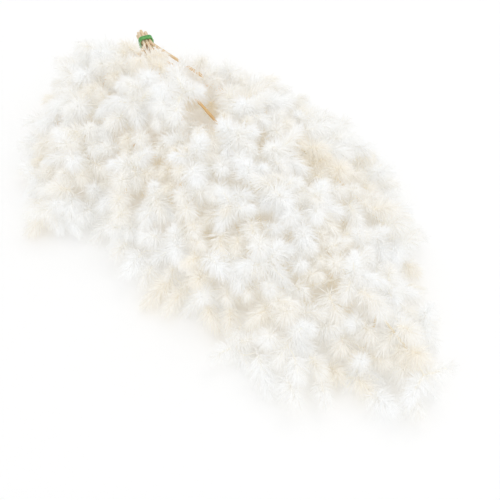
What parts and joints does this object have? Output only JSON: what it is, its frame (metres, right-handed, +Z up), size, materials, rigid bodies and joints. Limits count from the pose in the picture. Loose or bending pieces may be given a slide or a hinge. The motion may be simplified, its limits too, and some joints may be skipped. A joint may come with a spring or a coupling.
{
  "type": "dried fern bunch",
  "caption": "Bunch of bleached ming fern: cut woody stems bound near their ends by a rubber band, fanning out into a low mound of pom-pom sprays of fine needles, lying down.",
  "frame": {"origin": "centre of the bunch's overall outline, on the surface that it lies on", "axes": "+X along the bunch from the tied stem ends to the tips of the foliage; +Z up from the surface; +Y across it, to the left as seen from the tied end"},
  "size_m": [0.6118, 0.4096, 0.1282],
  "materials": {
    "foliage": "bleached cream-white needles and thin twigs, matt and slightly translucent",
    "stem": "dry tan woody stem, matt with fine lengthwise grain",
    "tie": "glossy green rubber band wound in several turns"
  },
  "bodies": {
    "root": {"spray_1_1": "foliage", "spray_1_2": "foliage", "spray_1_3": "foliage", "spray_1_4": "foliage", "spray_2_1": "foliage", "spray_2_2": "foliage", "spray_2_3": "foliage", "spray_2_4": "foliage", "spray_2_5": "foliage", "spray_3_1": "foliage", "spray_3_2": "foliage", "spray_3_3": "foliage", "spray_4_1": "foliage", "spray_4_2": "foliage", "spray_4_3": "foliage", "spray_4_4": "foliage", "spray_4_5": "foliage", "spray_4_6": "foliage", "spray_5_1": "foliage", "spray_5_2": "foliage", "spray_5_3": "foliage", "spray_5_4": "foliage", "spray_5_5": "foliage", "spray_5_6": "foliage", "spray_6_1": "foliage", "spray_6_2": "foliage", "spray_6_3": "foliage", "spray_6_4": "foliage", "spray_6_5": "foliage", "spray_6_6": "foliage", "spray_6_7": "foliage", "spray_6_8": "foliage", "spray_6_9": "foliage", "spray_7_1": "foliage", "spray_7_2": "foliage", "spray_7_3": "foliage", "spray_8_1": "foliage", "spray_8_2": "foliage", "spray_8_3": "foliage", "spray_8_4": "foliage", "spray_8_5": "foliage", "spray_8_6": "foliage", "spray_8_7": "foliage", "stem_1": "stem", "stem_2": "stem", "stem_3": "stem", "stem_4": "stem", "stem_5": "stem", "stem_6": "stem", "stem_7": "stem", "stem_8": "stem", "tie_band": "tie"}
  },
  "joints": []
}
